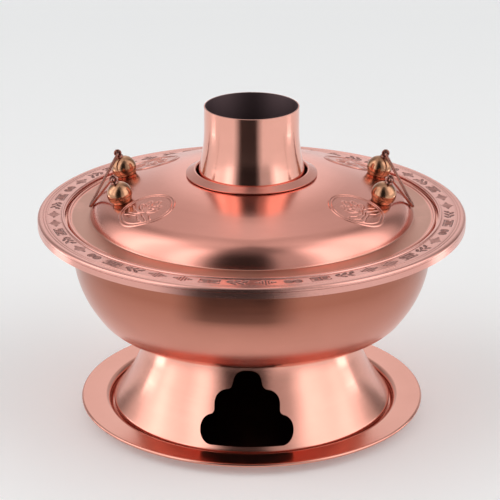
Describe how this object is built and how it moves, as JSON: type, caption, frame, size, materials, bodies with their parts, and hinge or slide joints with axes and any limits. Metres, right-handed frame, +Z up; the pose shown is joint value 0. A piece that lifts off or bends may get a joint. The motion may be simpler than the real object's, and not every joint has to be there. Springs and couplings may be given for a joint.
{
  "type": "chimney hot pot",
  "caption": "Charcoal hot pot of spun copper: ring bowl round a chimney, flared vented pedestal, lift-off lid with ball knobs and wire bails, drip tray.",
  "frame": {"origin": "centre of the drip tray's underside, on the table", "axes": "+Z up along the chimney; -Y is the front, where the air vent is; the bails are on -X and +X"},
  "size_m": [0.34, 0.34, 0.253],
  "materials": {
    "body_copper": "spun copper, circular satin brushing, bright",
    "chimney_copper": "spun copper, fine horizontal brushing, bright outside, smoked inside",
    "tray_copper": "spun copper, circular satin brushing",
    "rim_copper": "satin pink copper with a pressed fret band",
    "lid_copper": "satin pink copper, circular brushing",
    "knob_copper": "polished copper",
    "wire_copper": "polished copper wire",
    "steel_parts": "plain steel",
    "cast_iron": "rough cast, sooty"
  },
  "bodies": {
    "tray": {"drip_tray": "tray_copper", "tray_flange": "tray_copper"},
    "pot": {"pedestal_foot": "body_copper", "pedestal": "body_copper", "pedestal_seat": "body_copper", "bowl": "body_copper", "lid_seat": "body_copper", "rim_ring": "rim_copper", "rim_edge": "rim_copper", "firebox": "body_copper", "firebox_cone": "body_copper", "chimney": "chimney_copper", "grate": "cast_iron", "grate_lugs": "steel_parts"},
    "lid": {"lid_dome": "lid_copper", "lid_collar": "lid_copper", "knob_washers": "steel_parts", "knob_nuts": "steel_parts", "left_front_knob_cap": "knob_copper", "left_front_knob_cup": "knob_copper", "left_front_eye_bolt": "wire_copper", "left_rear_knob_cap": "knob_copper", "left_rear_knob_cup": "knob_copper", "left_rear_eye_bolt": "wire_copper", "right_front_knob_cap": "knob_copper", "right_front_knob_cup": "knob_copper", "right_front_eye_bolt": "wire_copper", "right_rear_knob_cap": "knob_copper", "right_rear_knob_cup": "knob_copper", "right_rear_eye_bolt": "wire_copper"},
    "left_bail": {"left_bail": "wire_copper"},
    "right_bail": {"right_bail": "wire_copper"}
  },
  "joints": [
    {"name": "pot_lift", "type": "slide", "parent": "tray", "child": "pot", "axis": [0, 0, 1], "range_m": [0, 0.05]},
    {"name": "lid_lift", "type": "slide", "parent": "pot", "child": "lid", "axis": [0, 0, 1], "range_m": [0, 0.08]},
    {"name": "left_bail_swing", "type": "hinge", "parent": "lid", "child": "left_bail", "pos_m": [-0.10777, 0, 0.20347], "axis": [0, 1, 0], "range_deg": [0, 246]},
    {"name": "right_bail_swing", "type": "hinge", "parent": "lid", "child": "right_bail", "pos_m": [0.10777, 0, 0.20347], "axis": [0, -1, 0], "range_deg": [0, 246]}
  ]
}
